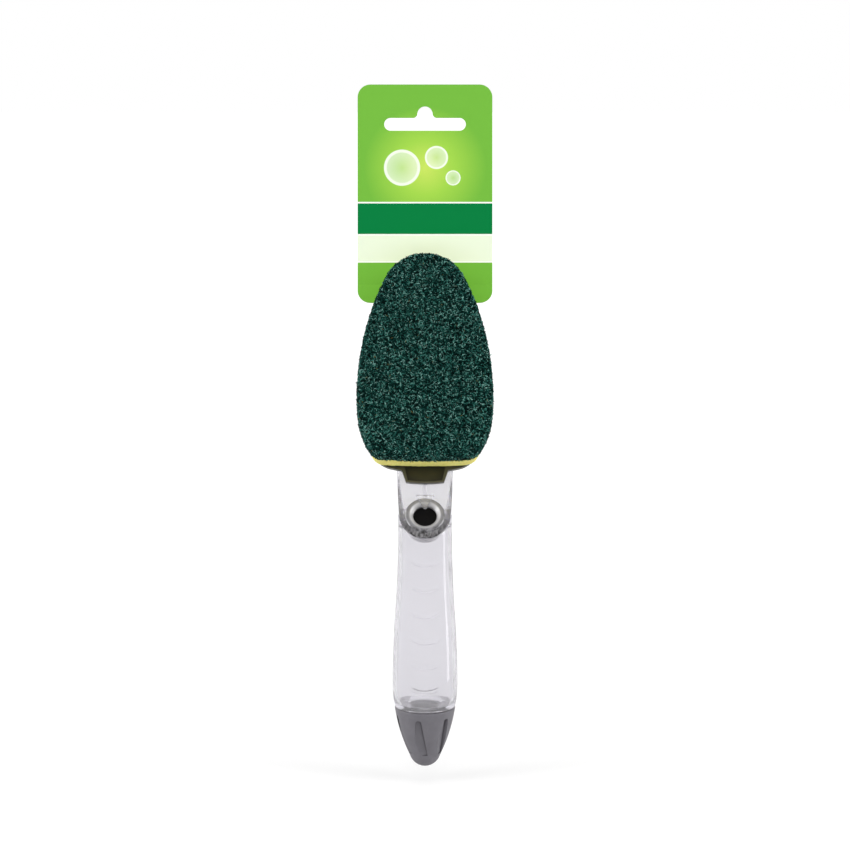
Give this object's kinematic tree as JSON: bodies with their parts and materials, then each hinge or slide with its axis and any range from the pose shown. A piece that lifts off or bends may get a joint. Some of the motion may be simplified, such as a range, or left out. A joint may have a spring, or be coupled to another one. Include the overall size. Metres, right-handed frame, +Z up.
{
  "type": "dish wand",
  "caption": "Soap-dispensing dish wand: clear hollow handle with a screw cap, a button valve in the neck, a slide-on sponge and scouring-pad head, and a creased hang card.",
  "frame": {"origin": "on the handle's axis at the middle of the grip, where a hand holds it", "axes": "+Z up the handle towards the head, the scouring pad looks towards -Y, +X to the right seen from the pad's side"},
  "size_m": [0.0528, 0.0657, 0.2615],
  "materials": {
    "handle_clear": "clear injection-moulded plastic",
    "bezel_smoke": "smoky translucent plastic",
    "button_rubber": "black moulded rubber",
    "seal_rubber": "white silicone",
    "valve_white": "white acetal",
    "spring_wire": "bright stainless wire",
    "cap_grey": "warm grey satin plastic",
    "core_grey": "light grey plastic",
    "gasket_foam": "white foam liner",
    "base_olive": "dark olive satin plastic",
    "sponge_yellow": "yellow open-cell foam",
    "scour_green": "dark green non-woven fibre",
    "card_print": "green printed card",
    "glue_clear": "clear removable adhesive"
  },
  "bodies": {
    "handle": {"handle_shell": "handle_clear", "bezel_ring": "bezel_smoke", "return_spring": "spring_wire"},
    "button": {"soap_button": "button_rubber", "button_seal": "seal_rubber", "valve_stem": "valve_white", "poppet_seal": "seal_rubber"},
    "cap_liner": {"cap_gasket": "gasket_foam"},
    "cap": {"cap_grip": "cap_grey", "cap_core": "core_grey"},
    "head": {"head_base": "base_olive", "sponge": "sponge_yellow", "scour_pad": "scour_green", "glue_dots": "glue_clear"},
    "card": {"hang_card": "card_print"}
  },
  "joints": [
    {"name": "button_press", "type": "slide", "parent": "handle", "child": "button", "axis": [0, 0.7071, -0.7071], "range_m": [0, 0.0016], "stiffness_N_per_m": 1500, "springref_m": -0.0008, "deforming": ["return_spring"]},
    {"name": "head_slide", "type": "slide", "parent": "handle", "child": "head", "axis": [0, 0.3827, 0.9239], "range_m": [0, 0.036]},
    {"name": "cap_lift", "type": "slide", "parent": "handle", "child": "cap_liner", "axis": [0, 0, -1], "range_m": [0, 0.0054]},
    {"name": "cap_turn", "type": "hinge", "parent": "cap_liner", "child": "cap", "pos_m": [0, 0, -0.0457], "axis": [0, 0, -1], "range_deg": [0, 648]},
    {"name": "card_off", "type": "slide", "parent": "head", "child": "card", "axis": [0, 0.9239, -0.3827], "range_m": [0, 0.03]}
  ],
  "couplings": [
    {"joint": "cap_turn", "follows": "cap_lift", "rad_per_m": 2094.4}
  ]
}
